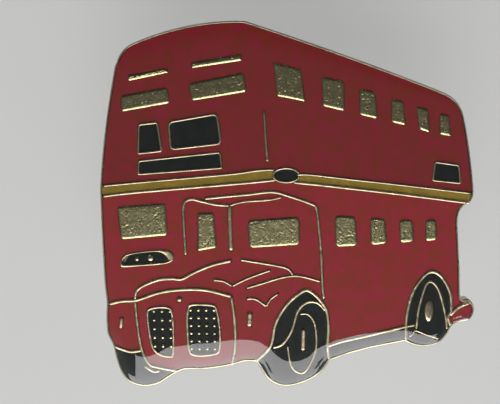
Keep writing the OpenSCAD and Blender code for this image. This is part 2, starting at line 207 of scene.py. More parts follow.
def grid(surface, wrap_rows=False, wrap_columns=False):
    """Vertices and quads of a surface of rows by columns by 3. Either way may close on itself."""
    rows, columns = surface.shape[:2]
    i, j = np.meshgrid(
        np.arange(rows if wrap_rows else rows - 1),
        np.arange(columns if wrap_columns else columns - 1),
        indexing="ij",
    )
    i, j = i.ravel(), j.ravel()
    down, along = (i + 1) % rows, (j + 1) % columns
    here, below = i * columns, down * columns
    return surface.reshape(-1, 3), np.stack([here + j, below + j, below + along, here + along], 1)


def joined(patches):
    """One set of vertices and quads from many."""
    start = np.cumsum([0] + [len(v) for v, _ in patches[:-1]])
    return np.vstack([v for v, _ in patches]), np.vstack([q + s for (_, q), s in zip(patches, start)])


def mesh_object(name, vertices, quads, material):
    """Object in the scene, at the origin, with a mesh in metres."""
    mesh = bpy.data.meshes.new(name)
    mesh.from_pydata(vertices.tolist(), [], quads.tolist())
    mesh.materials.append(material)
    made = bpy.data.objects.new(name, mesh)
    bpy.context.scene.collection.objects.link(made)
    return made


def piece(name, patches, material, body, stands_for=()):
    """Smooth object from patches in millimetres, which rides on a body and takes a slot's finish."""
    vertices, quads = joined(patches)
    made = mesh_object(name, vertices * MM, quads, material)
    mend(made.data)
    made.data.polygons.foreach_set("use_smooth", [True] * len(made.data.polygons))
    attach(made, body)
    if stands_for:
        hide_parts(*stands_for)
    return made


# Points closer than this are one, in metres
WELD = 1e-7


def mend(mesh):
    """Merges a mesh's doubled points and turns its faces outwards."""
    work = bmesh.new()
    work.from_mesh(mesh)
    bmesh.ops.remove_doubles(work, verts=work.verts, dist=WELD)
    bmesh.ops.dissolve_degenerate(work, dist=WELD, edges=work.edges)
    bmesh.ops.recalc_face_normals(work, faces=work.faces)
    work.to_mesh(mesh)
    work.free()


def thicken(made, thickness, offset):
    """Gives sheet metal its thickness: inwards with offset -1, to both sides with 0."""
    solid = made.modifiers.new("Sheet", "SOLIDIFY")
    solid.thickness, solid.offset, solid.use_even_offset = thickness * MM, offset, True


def raised(plan, height):
    """Points of a plan, rows by columns by 2, lifted to a height for each."""
    return np.concatenate([plan, np.broadcast_to(height, plan.shape[:2])[..., None]], 2)


RIDGE_U = np.sin(np.linspace(-1, 1, 17) * math.pi / 2)
RIDGE_BOW = 0.2
# A ridge is wider at its foot than where the enamel meets it, by this factor
RIDGE_FOOT = 1.09


def crown(u):
    """Profile of a raised line: steep sides and a low crown, (1 - bow |u|^3) (1 - u^10)^(1/4)."""
    return (1 - RIDGE_BOW * np.abs(u) ** 3) * np.clip(1 - u**10, 0, 1) ** 0.25


def ridge(path, width, seed):
    """Raised line along a path: path(s) + left(s) * u * half width, lifted by the crown of u.

    In a round end it is the crown of the distance from the end's centre. Height and width vary a little.
    """
    path = np.array(path, float)
    total, half = lengths(path)[-1], width / 2 * RIDGE_FOOT
    ends = half * (1 - np.cos(np.linspace(0, math.pi / 2, 6)))
    middle = np.linspace(half, total - half, max(3, int(total / 0.1)))
    along = np.concatenate([ends[:-1], middle, (total - ends[:-1])[::-1]])
    line = at_lengths(path, along)
    end = (1 - np.clip(np.minimum(along, total - along) / half, 0, 1))[:, None]
    spread = half * np.sqrt(1 - end**2) * (1 + 0.07 * wander(len(along), 3, seed))[:, None]
    plan = line[:, None] + left_normals(line)[:, None] * (spread * RIDGE_U)[..., None]
    top = LINE_HEIGHT * (1 - 0.05 * np.abs(wander(len(along), 1, seed + 1)))[:, None]
    from_middle = np.sqrt(end**2 + (1 - end**2) * RIDGE_U**2)
    return grid(raised(plan, SUNK_Z + top * crown(from_middle)), wrap_columns=True)


def frame_between(outer, inner, seed):
    """Raised frame between two closed edges of equal count: edges mixed by t, lifted by the crown of u."""
    t = 0.5 + RIDGE_FOOT * RIDGE_U / 2
    plan = outer[:, None] * (1 - t)[None, :, None] + inner[:, None] * t[None, :, None]
    top = LINE_HEIGHT * (1 - 0.05 * np.abs(wander(len(outer), 2, seed)))
    height = SUNK_Z + top[:, None] * crown(RIDGE_U)
    return grid(raised(plan, height), wrap_rows=True, wrap_columns=True)


# ---- drawing of the badge

EDGE_POINTS = 900


def badge_outline():
    """Edge of the badge, clockwise from the left end of its waist band, at even distances."""
    stretches = [
        bow((-12.38, 1), (-11.34, 9), 0.14),
        bow((-11.2, 9.35), (-10.05, 10.6), 0.2),
        bow((-9.6, 10.78), (-3.3, 12), 0.3),
        bow((-2.8, 11.97), (9.6, 7.58), 0.1),
        bow((9.9, 7.45), (11.42, 5.6), 0.35),
        bow((11.5, 5.3), (12.1, 1.1), 0.05),
        curve([(12.1, 0.8), (11.95, 0.32), (11.5, 0.04), (11.2, -0.35), (11.1, -1)]),
        [(11.3, -4), (11.36, -5.9)],
        curve([(11.48, -6.14), (11.94, -6.09), (12.3, -6.7), (12.06, -7.44), (11.4, -7.65), (10.8, -7.95)]),
        curve([(10.6, -8.4), (10, -9.06), (9, -9.3), (8.2, -9.16), (7.8, -8.95)]),
        [(5.5, -9.43), (4, -9.86)],
        curve([(2.84, -10.3), (2.25, -11.12), (1.2, -11.76), (-0.1, -12.06), (-1.2, -11.63), (-2, -10.42)]),
        curve([(-2.8, -10.41), (-3.8, -10.7), (-5.2, -10.94), (-6.7, -11), (-7.3, -11.2)]),
        curve([(-7.8, -11.5), (-8.6, -12), (-9.6, -12.16), (-10.6, -11.82), (-11.2, -10.9), (-11.6, -9.4)]),
        curve([(-11.98, -8.6), (-12.04, -7.6), (-12, -6.5)]),
        [(-12.14, -5.2), (-12.3, -1.5)],
    ]
    return even(np.vstack(stretches), EDGE_POINTS, True)


OUTLINE = softened(badge_outline(), 0.05)
INWARDS = -left_normals(OUTLINE, True)
# Raised lines: width, and points that a smooth curve joins
LINES = [
    # Waist band
    (0.16, [(-12.14, 1.255), (-9.9, 1.48), (-4, 2.03), (-2, 2.3), (-0.9, 2.36)]),
    (0.2, [(-12.18, 0.575), (-9.9, 0.85), (-4, 1.38), (-2, 1.57), (-0.8, 1.7)]),
    (0.14, [(0.6, 2.03), (1.5, 2.03), (4.4, 1.71), (7.5, 1.38), (11.92, 0.87)]),
    (0.2, [(0.35, 1.55), (2.1, 1.38), (4.4, 1.13), (7.5, 0.78), (11.85, 0.24)]),
    # Cab
    (0.2, [(-5.45, 0.45), (-4, 0.6), (-2.6, 0.74), (-1, 0.9), (0.2, 0.6), (1.5, 0.15), (1.85, -0.1),
        (2, -1), (2.2, -3), (2.3, -5), (2.42, -6.15)]),
    (0.2, [(-6.72, -3.3), (-6.82, -1.5), (-6.85, 0), (-6.4, 0.4), (-5.7, 0.28), (-4.8, 0.07), (-3.85, 0)]),
    # Bonnet, wing and radiator
    (0.22, [(-10.1, -6.3), (-9.9, -5.6), (-8.7, -5), (-7.7, -4.87), (-7, -4.9), (-6.3, -4.53), (-5.1, -4),
        (-3.7, -3.64)]),
    (0.24, [(-11.84, -6.6), (-11, -6.4), (-10, -6.32), (-8.5, -5.82), (-7, -5.6), (-5.4, -5.62),
        (-3.7, -6.03)]),
    (0.22, [(-3.7, -6.03), (-3.5, -7.5), (-3.43, -9.2), (-3.66, -10.7)]),
    (0.2, [(-10.1, -6.32), (-9.95, -8), (-9.68, -9.6), (-9.2, -10.6), (-8.6, -10.85), (-7.2, -11.1)]),
    (0.24, [(-11.5, -9.42), (-11.1, -9.6), (-10.4, -9.8), (-9.68, -9.7)]),
    # Wheel arches, sill and rear platform
    (0.24, [(-2.1, -10.4), (-1.1, -9.35), (-0.75, -7.8), (0, -6.53), (0.95, -5.7), (1.45, -5.62),
        (2.1, -6.15), (2.6, -6.94), (2.74, -8.1), (2.69, -9.3), (2.8, -10.25)]),
    (0.22, [(7.84, -8.98), (7.88, -7.3), (8.2, -5.8), (8.75, -4.85), (9.4, -4.3), (10.1, -4.6),
        (10.7, -5.7), (10.78, -6.88), (10.6, -7.3), (10.8, -7.9)]),
    (0.22, [(2.7, -9.33), (3.6, -9), (5.2, -8.62), (7.85, -7.95), (8.45, -7.86)]),
    (0.26, [(10.7, -7.2), (11, -6.88), (11.3, -6.62), (11.7, -6.42), (12.02, -6.32)]),
    # Upper corner and cab window
    (0.18, [(-1.58, 6.12), (-1.46, 4.2), (-1.34, 2.9)]),
    (0.15, [(-3.8, 0), (-2.9, 0.25), (-1.2, 0.39), (-0.4, 0.57)]),
    (0.3, [(-3.82, 0), (-3.8, -1), (-3.72, -3)]),
    # Creases of the bonnet
    (0.18, [(-3.1, -3.58), (-0.9, -3.93), (0, -4.15), (0.38, -4.58)]),
    (0.16, [(-2.7, -5.47), (-1.5, -5.1), (-0.3, -4.74), (0.8, -4.64), (2.2, -5)]),
    (0.16, [(-4.9, -4.94), (-4.2, -5.03), (-3.64, -5.35)]),
    (0.16, [(-3.64, -5.35), (-2.6, -4.82), (-1.1, -4.26)]),
    (0.16, [(-2.7, -6.2), (-2.1, -6.2), (-1.37, -6.68)]),
    (0.16, [(-1.37, -6.68), (-1.1, -6.2), (-0.58, -5.82)]),
    # Wheels
    (0.2, [(-0.95, -9.45), (-0.3, -9.2), (0.3, -8.3), (0.7, -7), (1.3, -6.4), (2, -6.42), (2.55, -6.95)]),
    (0.16, [(0.84, -7.18), (1.4, -7.2), (1.85, -7.9), (1.92, -9.5), (1.4, -10.8), (0.9, -11.15),
        (0.3, -10.65), (0.04, -9.3)]),
    (0.3, [(1.1, -8.15), (1.07, -9.65)]),
    (0.18, [(8.53, -8.1), (8.65, -6.8), (9.1, -5.2), (9.55, -5), (10, -5.65), (10.4, -7.1), (10.53, -8.1)]),
    (0.15, [(8.05, -8.64), (8.3, -8.45), (8.47, -8.22), (9.2, -8.48), (10, -8.74)]),
    # Bumper and lamps
    (0.2, [(-9.5, -10.76), (-8.9, -11.13), (-8.45, -11.06)]),
    (0.26, [(-11, -7.47), (-11.08, -8.24)]),
    (0.33, [(-2.46, -7.06), (-2.5, -8.06)]),
]
# Raised panes: corner radius, then corners from the top left, clockwise
PANES = [
    (0.2, [(-10.95, 7.15), (-7.9, 7.72), (-7.72, 6.68), (-10.9, 6.1)]),
    (0.2, [(-6.5, 7.95), (-2.92, 8.67), (-2.7, 7.42), (-6.3, 6.82)]),
    (0.13, [(-10.5, 8.48), (-7.92, 8.95), (-7.8, 8.65), (-10.45, 8.09)]),
    (0.1, [(-6.35, 9.3), (-3.1, 9.85), (-3, 9.42), (-6.3, 8.93)]),
    (0.12, [(-1, 9.33), (0.82, 8.86), (1.1, 6.78), (-0.75, 7.15)]),
    (0.2, [(2.13, 8.42), (3.58, 8.1), (3.67, 6.17), (2.22, 6.5)]),
    (0.2, [(4.59, 7.62), (5.6, 7.45), (5.8, 5.67), (4.62, 5.94)]),
    (0.18, [(6.65, 7), (7.45, 6.83), (7.63, 5.26), (6.7, 5.46)]),
    (0.18, [(8.27, 6.5), (9.04, 6.33), (9.19, 4.79), (8.5, 5.02)]),
    (0.12, [(9.79, 6.04), (10.39, 5.95), (10.57, 4.55), (9.82, 4.7)]),
    (0.25, [(-11.25, -0.1), (-8.05, 0.15), (-7.9, -2), (-11, -2.3)]),
    (0.18, [(-5.95, -0.5), (-4.86, -0.45), (-4.66, -2.8), (-5.95, -3.05)]),
    (0.32, [(-2.65, -0.95), (0.78, -0.7), (0.83, -2.57), (-2.5, -2.82)]),
    (0.3, [(3.07, -0.62), (4.45, -0.65), (4.6, -2.62), (3.16, -2.7)]),
    (0.28, [(5.38, -0.75), (6.36, -0.8), (6.54, -2.45), (5.47, -2.58)]),
    (0.26, [(7.29, -0.85), (8.16, -0.85), (8.3, -2.3), (7.38, -2.43)]),
    (0.24, [(9, -0.85), (9.7, -0.85), (9.8, -2.2), (9.03, -2.3)]),
]
# Framed signs: frame width, corner radius, then corners from the top left, clockwise
SIGNS = [
    (0.16, 0.22, [(-9.85, 5.35), (-8.5, 5.5), (-8.2, 3.5), (-9.9, 3.3)]),
    (0.16, 0.4, [(-7.9, 5.5), (-4.6, 6.08), (-4.3, 3.98), (-7.75, 3.58)]),
    (0.14, 0.2, [(-9.85, 2.95), (-4.4, 3.55), (-4.25, 2.4), (-9.9, 1.95)]),
    (0.14, 0.2, [(9.5, 2.98), (11.15, 2.75), (11.3, 1.45), (9.35, 1.65)]),
]
GRILLES = [
    [(-9.36, -7.4), (-9.25, -6.9), (-8.5, -6.7), (-7.72, -6.82), (-7.52, -7.5), (-7.46, -8.9),
        (-7.52, -10.05), (-7.9, -10.2), (-8.5, -10.05), (-8.95, -9.65), (-9.2, -8.8)],
    [(-6.72, -7.5), (-6.6, -6.72), (-6.3, -6.53), (-5.6, -6.5), (-4.85, -6.58), (-4.6, -6.9), (-4.4, -8),
        (-4.36, -9.3), (-4.5, -9.85), (-4.9, -10.02), (-5.7, -10.12), (-6.35, -10.02), (-6.6, -9.6),
        (-6.7, -8.6)],
]
GRILLE_FRAME = 0.18
LOZENGE_OUTER = [(-11.06, -4), (-10.85, -3.4), (-10.3, -3.2), (-8.4, -2.96), (-7.7, -3.05), (-7.5, -3.5),
    (-8, -3.88), (-9.9, -4.07), (-10.8, -4.14)]
LOZENGE_INNER = [(-10.8, -3.93), (-10.5, -3.34), (-8.56, -3.1), (-7.89, -3.6), (-8.15, -3.78)]
OVAL_CENTRE, OVAL_RADII, OVAL_FRAME = (-0.12, 2), (0.92, 0.53), 0.14
HUB_CENTRE, HUB_RADII, HUB_BOW = (9.33, -6.88), (0.31, 0.77), 0.25
# Grille studs: first and last column, their number, first and last row, their number
STUD_ROWS = [(-8.85, -7.77, 3, -7.05, -9.4, 5), (-6.4, -4.85, 4, -6.95, -9.55, 6)]
STUD_RADIUS, STUD_LEAN = 0.135, 0.03
# Single studs: x, y and radius
DOTS = [(-9.95, -3.57, 0.16), (-9.05, -3.5, 0.24), (-7.15, -6.25, 0.2)]


def nearest_order(path, other):
    """A closed path started at its point nearest to the first point of another."""
    return np.roll(path, -int(np.linalg.norm(path - other[0], axis=1).argmin()), 0)


def oval(centre, radii, count=72):
    """Closed ellipse: centre + (radii * (cos a, sin a)), clockwise."""
    angle = -np.linspace(0, 2 * math.pi, count, endpoint=False)
    return np.array(centre) + np.stack([radii[0] * np.cos(angle), radii[1] * np.sin(angle)], 1)


# ---- surfaces of the struck plate

SHRINK_FADE = 0.5


def shrinking(edge, depths):
    """Loops from an edge (depth 0) to its middle (depth 1).

    Each is the edge with its k-th harmonic faded by exp(-fade * depth * (k - 1)) and drawn in by 1 - depth.
    """
    count = len(edge)
    harmonics = np.fft.fft(edge[:, 0] + 1j * edge[:, 1]) / count
    order = np.abs(np.fft.fftfreq(count, 1 / count))
    depth = np.array(depths)[:, None]
    harsh = SHRINK_FADE * np.clip(order - 1, 0, None)
    fade = np.where(order == 0, 1, (1 - depth) * np.exp(-harsh * depth))
    loops = np.fft.ifft(harmonics * fade * count, axis=1)
    return np.stack([loops.real, loops.imag], 2)


def plate_surface():
    """Closed skin of the plate: rows from the middle of its back, round its edge and rim, to that of its bed.

    Rows near the edge are the outline drawn in by a distance, and the others shrink from the last of these.
    """
    side = [(0.14, 0), (0.06, 0.02), (0.02, 0.07), (0, 0.15)]
    top = [
        (0, -0.14), (0.01, -0.09), (0.035, -0.05), (0.07, -0.02), (0.105, -0.004),
        (0.12, 0), (0.128, -0.006), (0.138, -0.022), (0.148, -0.05),
    ]
    rim = [(inset, BACK_Z + up) for inset, up in side] + [(inset, FACE_Z + up) for inset, up in top]
    rim += [(0.16, ENAMEL_Z - 0.01), (0.2, BED_Z)]
    edges = [OUTLINE + INWARDS * distance for distance, _ in rim]
    depths = np.linspace(0, 1, 14)[1:]
    back, bed = shrinking(edges[0], depths)[::-1], shrinking(edges[-1], depths)
    turn = raised(np.array(edges), np.array([z for _, z in rim])[:, None])
    return grid(np.concatenate([raised(back, BACK_Z), turn, raised(bed, BED_Z)]), wrap_columns=True)


PANE_FOOT = 0.02
PANE_WALL, PANE_BEVEL, PANE_DROP = 0.025, 0.14, 0.23
PANE_GRAIN, GRAIN_FINE, GRAIN_COARSE = 0.009, 0.07, 0.3
PIT_FROM, PIT_DEPTH, PIT_SIZE = 0.5, 0.018, 0.1
PANE_STEP = 0.03


def pane_steps(size):
    """Places from -1 to 1 across a pane: closer together over the two shoulders."""
    shoulder = np.array([0, 0.3, 1, 1.8, 2.9, 4.2, 5.8, 7.4]) * PANE_WALL * 2 / size
    middle = np.linspace(-1 + shoulder[-1], 1 - shoulder[-1], max(4, int(size / PANE_STEP)))
    return np.concatenate([-1 + shoulder[:-1], middle, (1 - shoulder[:-1])[::-1]])


def pane_surface(corners, radius, seed):
    """Raised pane: a grid set between four corners, each row as wide as the rounded corners leave it.

    At distance d from its edge its height is sqrt(d / wall) * (1 - drop * s^2), where s falls from 1 to 0
    over the bevel. Its top carries fine and coarse grain, and pits where a third noise is over a threshold.
    """
    tl, tr, br, bl = np.array(corners, float)
    wide = (np.linalg.norm(tr - tl) + np.linalg.norm(br - bl)) / 2
    high = (np.linalg.norm(tl - bl) + np.linalg.norm(tr - br)) / 2
    half_x, half_y = wide / 2 + PANE_FOOT, high / 2 + PANE_FOOT
    u, v = np.meshgrid(pane_steps(wide), pane_steps(high), indexing="ij")
    y = v * half_y
    over = np.clip(np.abs(y) - (half_y - radius), 0, radius)
    x = u * (half_x - radius + np.sqrt(radius**2 - over**2))
    past_x, past_y = np.abs(x) - (half_x - radius), np.abs(y) - (half_y - radius)
    outside = np.hypot(np.clip(past_x, 0, None), np.clip(past_y, 0, None))
    from_edge = np.clip(radius - outside - np.minimum(np.maximum(past_x, past_y), 0), 0, None)
    s, t = (0.5 + x / wide)[..., None], (0.5 - y / high)[..., None]
    plan = (tl * (1 - s) + tr * s) * (1 - t) + (bl * (1 - s) + br * s) * t
    slope = np.clip(1 - (from_edge - PANE_WALL) / PANE_BEVEL, 0, 1)
    shoulder = np.sqrt(np.clip(from_edge / PANE_WALL, 0, 1)) * (1 - PANE_DROP * slope**2)
    x, y = plan[..., 0], plan[..., 1]
    rough = 0.6 * grain(x, y, GRAIN_FINE, seed) + 0.4 * grain(x, y, GRAIN_COARSE, seed + 1)
    pits = np.clip(grain(x, y, PIT_SIZE, seed + 2) - PIT_FROM, 0, 1) / (1 - PIT_FROM)
    inside = np.clip(from_edge / 0.2, 0, 1)
    top = LINE_HEIGHT - PANE_GRAIN + (PANE_GRAIN * rough - PIT_DEPTH * pits) * inside
    skin = raised(plan, SUNK_Z + shoulder * top)
    edge = np.concatenate([skin[:-1, 0], skin[-1, :-1], skin[:0:-1, -1], skin[0, :0:-1]])
    under = np.stack([edge, np.broadcast_to(edge.mean(0), edge.shape)])
    return [grid(skin), grid(under, wrap_columns=True)]


def button(centre, radii, shares, heights, count):
    """Closed button: rings at shares of its two radii, at the given heights, over a flat underside."""
    plan = np.append(shares, shares[0])[:, None, None] * oval((0, 0), radii, count)[None]
    return grid(raised(plan + centre, SUNK_Z + np.append(heights, 0)[:, None]), wrap_columns=True)


def stud_surface(x, y, radius):
    """Round stud whose height is the crown of its share of the way out."""
    out = np.array([0, 0.25, 0.5, 0.72, 0.86, 0.95, 1])
    return button((x, y), (radius, radius), out, LINE_HEIGHT * crown(out), 16)


def hub_surface():
    """Rear hub: an oval whose height is (1 - bow * s^8) (1 - s^24)^(1/4) at share s of the way out."""
    out = np.array([0, 0.3, 0.5, 0.65, 0.76, 0.85, 0.92, 0.97, 1])
    height = (1 - HUB_BOW * out**8) * (1 - out**24) ** 0.25
    return button(HUB_CENTRE, HUB_RADII, out, LINE_HEIGHT * height, 48)


# ---- clear dome


def edge_distance(points, edge):
    """Smooth distance of points from a closed edge: (the edge's integral of ds / r^3, halved)^(-1/2).

    It is the true distance by a straight edge. Each stretch adds t / (d^2 sqrt(d^2 + t^2)) between its ends.
    """
    ends = np.roll(edge, -1, 0)
    length = np.linalg.norm(ends - edge, axis=1)
    way = (ends - edge) / length[:, None]
    total = np.zeros(len(points))
    for part in np.array_split(np.arange(len(points)), 1 + len(points) // 2000):
        gap = points[part, None] - edge[None]
        start = -(gap * way[None]).sum(2)
        off = np.maximum((gap**2).sum(2) - start**2, 1e-6)
        stop = start + length[None]
        total[part] = (stop / np.sqrt(off + stop**2) / off - start / np.sqrt(off + start**2) / off).sum(1)
    return np.sqrt(2 / total)


# The shoulder's width falls by this share for each millimetre to the right
SHOULDER_LEAN = 0.065
# The resin's underside lies this far below the line tops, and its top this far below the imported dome's
DOME_FOOT, DOME_SPARE = 0.03, 0.01


def dome_surface(sizes):
    """Closed resin: its top is height * sqrt(1 - exp(-2 f / w)) at smooth distance f from its edge.

    The width w of its shoulder grows evenly from right to left.
    """
    edge = even(softened(OUTLINE + INWARDS * sizes.inset / MM, 0.12), EDGE_POINTS, True)
    plan = shrinking(edge, np.linspace(0, 1, 70) ** 1.8)
    inner = plan[1:].reshape(-1, 2)
    gap = edge_distance(inner, even(edge, 300, True))
    width = sizes.shoulder / MM * (1 - SHOULDER_LEAN * inner[:, 0])
    share = np.sqrt(1 - np.exp(-2 * gap / width))
    height = np.concatenate([np.zeros(EDGE_POINTS), share * (DOME_Z - FACE_Z - DOME_SPARE)])
    top = raised(plan, FACE_Z - DOME_FOOT + height.reshape(plan.shape[:2]))
    under = raised(shrinking(edge, np.linspace(0, 1, 10)), FACE_Z - DOME_FOOT)
    return grid(top, wrap_columns=True), grid(under, wrap_columns=True)


# ---- post and clutch


def revolved(profile, steps):
    """Surface of revolution about the Z axis: (r cos a, r sin a, z) for each (r, z) of a profile."""
    radius, height = np.array(profile, float).T
    angle = np.linspace(0, 2 * math.pi, steps, endpoint=False)
    ring = np.stack([np.cos(angle), np.sin(angle)], 1)
    return raised(radius[:, None, None] * ring[None], height[:, None])


def eased(points, radius, steps=3):
    """Open profile whose inner corners are rounded, each turned from radius before it to radius after it."""
    p = np.array(points, float)
    before, after = p[:-2] - p[1:-1], p[2:] - p[1:-1]
    shorter = np.minimum(np.linalg.norm(before, axis=1), np.linalg.norm(after, axis=1))
    reach = np.minimum(radius, 0.45 * shorter)[:, None]
    turn = turned(p[1:-1] + unit(before) * reach, p[1:-1], p[1:-1] + unit(after) * reach, steps)
    return np.vstack([p[:1], turn.reshape(-1, 2), p[-1:]])


POST_R = 0.55
FOOT_R = level("post", 1, 0)
GRIP_Z = CLUTCH_Z - 1.85
SHEET = 0.3
CLUTCH_R = level("clutch_shell", 1, 0)
FACE_R = level("clutch_face", 1, 0)
END_Z = level("clutch_shell", 0)
HOUSING_R = 2.3
HINGE_Z = CLUTCH_Z - 2.55
SLOT_H = 1.1
NECK_W, WING_W, WING_T = 1.6, 2 * level("wing_right", 1, 1), 0.3
SOLDER_W, SOLDER_H = 0.35, 0.34
# Dents and the ring pressed into the face: distance from the middle, depth and size
DENT_R, DENT_DEPTH, DENT_SIZE = 2.9, 0.16, 0.32
RING_R, RING_DEPTH, RING_SIZE = 4.55, 0.05, 0.12
# Ribs across a wing: their places as shares of its length, height and size
RIBS, RIB_H, RIB_SIZE = (0.47, 0.55, 0.63), 0.06, 0.13
# Reach of the rounded corners of a wing's free end
WING_CORNER = 0.35


def post_surface():
    """Post: its foot, shank with a groove for the clutch's jaws, and point, turned about its axis."""
    foot_top = level("post", 1)
    profile = [
        (0.0, foot_top), (FOOT_R, foot_top), (FOOT_R, BACK_Z), (POST_R + 0.12, BACK_Z - 0.02),
        (POST_R, BACK_Z - 0.14), (POST_R, GRIP_Z + 0.24), (POST_R - 0.13, GRIP_Z),
        (POST_R - 0.03, GRIP_Z - 0.24), (POST_R - 0.06, TIP_Z + 1.4), (POST_R - 0.1, TIP_Z + 0.8),
        (0.12, TIP_Z + 0.02), (0.0, TIP_Z),
    ]
    return grid(revolved(eased(profile, 0.06), 48), wrap_columns=True)


def solder_surface():
    """Solder round the post's foot: (1 - sqrt(1 - (1 - t)^2))^1.3 high at share t of the way out, and uneven.

    Its outer edge waves by sines of the angle, and a low swell of sqrt(sin(pi t)) rounds it.
    """
    angle = np.linspace(0, 2 * math.pi, 96, endpoint=False)
    uneven = 1 + 0.18 * np.sin(angle + 0.7) + 0.1 * np.sin(3 * angle) + 0.05 * np.sin(7 * angle + 2)
    t = np.linspace(0, 1, 14)[:, None]
    radius = POST_R - 0.02 + t * (FOOT_R + SOLDER_W * uneven[None] - POST_R)
    fillet = (1 - np.sqrt(np.clip(1 - (1 - t) ** 2, 0, 1))) ** 1.3
    height = SOLDER_H * fillet + 0.05 * np.sqrt(np.clip(np.sin(t * math.pi), 0, 1))
    plan = np.stack([radius * np.cos(angle), radius * np.sin(angle)], 2)
    return grid(raised(plan, BACK_Z + 0.012 - height * np.ones_like(radius)), wrap_columns=True)


def clutch_face_surface():
    """Face disc with a hole. Four dents and a ring dip its top, each by depth * exp(-(distance / size)^2)."""
    hole = POST_R + 0.13
    bottom = CLUTCH_Z - SHEET
    top = [(hole + 0.02, CLUTCH_Z - 0.16), (hole + 0.08, CLUTCH_Z - 0.05), (hole + 0.2, CLUTCH_Z)]
    radii = np.linspace(hole + 0.3, FACE_R - 0.06, 44)
    top += [(r, CLUTCH_Z) for r in radii] + [(FACE_R - 0.01, CLUTCH_Z - 0.05)]
    under = [(FACE_R, bottom + 0.05), (FACE_R - 0.05, bottom), (hole + 0.1, bottom), (hole, bottom + 0.05)]
    skin = revolved(top + under, 144)
    upper = skin[: len(top)]
    place = math.pi / 4 + np.arange(4) * math.pi / 2
    dents = DENT_R * np.stack([np.cos(place), np.sin(place)], 1)
    gap = np.linalg.norm(upper[:, :, None, :2] - dents[None, None], axis=3)
    upper[..., 2] -= (DENT_DEPTH * np.exp(-((gap / DENT_SIZE) ** 2))).sum(2)
    ring = np.linalg.norm(upper[..., :2], axis=2) - RING_R
    upper[..., 2] -= RING_DEPTH * np.exp(-((ring / RING_SIZE) ** 2))
    return grid(skin, wrap_rows=True, wrap_columns=True)


def shell_surface():
    """Pressed shell, one skin turned about Z: rolled rim, dished flange, slotted housing and closed end."""
    rim_z, flange_z = CLUTCH_Z - SHEET, CLUTCH_Z - 1.05
    slot_low, slot_high = HINGE_Z - SLOT_H / 2, HINGE_Z + SLOT_H / 2
    rim = [
        (FACE_R + 0.02, CLUTCH_Z - 0.02), (CLUTCH_R - 0.22, CLUTCH_Z), (CLUTCH_R - 0.07, CLUTCH_Z - 0.09),
        (CLUTCH_R, CLUTCH_Z - 0.3), (CLUTCH_R - 0.07, rim_z - 0.28), (CLUTCH_R - 0.3, rim_z - 0.42),
    ]
    dish = [
        (4.6, rim_z - 0.5), (4.3, rim_z - 0.62), (3.9, rim_z - 0.62), (3.5, rim_z - 0.64),
        (HOUSING_R + 0.35, flange_z - 0.02), (HOUSING_R, flange_z - 0.3),
    ]
    wall = [(HOUSING_R, z) for z in np.linspace(slot_high, slot_low, 8)]
    end = [
        (HOUSING_R, END_Z + 0.7), (HOUSING_R - 0.1, END_Z + 0.3), (HOUSING_R - 0.45, END_Z + 0.02),
        (1.2, END_Z), (0.95, END_Z), (0.78, END_Z + 0.06),
    ]
    profile = np.vstack([eased(rim + dish, 0.15), wall, eased(end, 0.1)])
    vertices, quads = grid(revolved(profile, 144), wrap_columns=True)
    _, y, z = vertices[quads].mean(1).T
    slot = (z > slot_low) & (z < slot_high) & (np.abs(y) < NECK_W / 2 + 0.2)
    return vertices, quads[~slot]


def wing_surface(side):
    """Spring wing: a strip carried along its bent path in the XZ plane, (x(s), half width(s) * u, z(s)).

    Its width goes from the neck's to the wing's by a quarter circle, as do the corners of its free end. Ribs
    of height * exp(-(distance / size)^2) cross it where it is gripped.
    """
    neck = [(POST_R + 0.12, GRIP_Z), (1.3, HINGE_Z + 0.4), (HOUSING_R, HINGE_Z), (3.1, HINGE_Z - 0.15)]
    bend = [(4, HINGE_Z - 0.75), (4.7, 1.3), (4.85, 0.75), (4.65, 0.28), (4.3, WING_T / 2), (3.95, 0.3)]
    path = even(curve(neck + bend, 10), 110)
    along = lengths(path)
    flare = np.clip((path[:, 0] - HOUSING_R - 0.25) / 0.75, 0, 1) * (along > 1)
    flare = np.where(along > along[-1] / 2, 1, flare)
    flare = np.sqrt(1 - (1 - flare) ** 2)
    half = NECK_W / 2 + (WING_W - NECK_W) / 2 * flare
    to_end = np.clip((along[-1] - along) / WING_CORNER, 0, 1)
    half -= WING_CORNER * (1 - np.sqrt(1 - (1 - to_end) ** 2))
    rib = sum(np.exp(-(((along - place * along[-1]) / RIB_SIZE) ** 2)) for place in RIBS)
    line = path + left_normals(path) * (RIB_H * rib)[:, None]
    y = half[:, None] * np.linspace(-1, 1, 25)
    x, z = (np.broadcast_to(way, y.shape) for way in (side * line[:, :1], line[:, 1:]))
    return grid(np.stack([x, y, z], 2))


# ---- materials


def join_inputs(tree, node, links):
    """Joins or sets the inputs of a node by name or number. A colour may be three numbers."""
    for name, value in links.items():
        socket = node.inputs[name]
        if isinstance(value, bpy.types.NodeSocket):
            tree.links.new(value, socket)
        else:
            socket.default_value = (*value, 1) if socket.type == "RGBA" else value


def shader(tree, kind, links=(), **settings):
    """Adds a shader node, sets its properties, and joins or sets its inputs."""
    made = tree.nodes.new(kind)
    for name, value in settings.items():
        setattr(made, name, value)
    join_inputs(tree, made, dict(links))
    return made


def finish_material(name):
    """New material with a Principled shader. Returns the material, its tree and that shader."""
    made = bpy.data.materials.new(name)
    made.use_nodes = True
    return made, made.node_tree, made.node_tree.nodes["Principled BSDF"]


def noise(tree, size, detail):
    """Noise on Object coordinates whose features are about size millimetres across."""
    place = shader(tree, "ShaderNodeTexCoord").outputs["Object"]
    links = {"Vector": place, "Scale": 1 / (size * MM), "Detail": detail}
    return shader(tree, "ShaderNodeTexNoise", links).outputs[0]


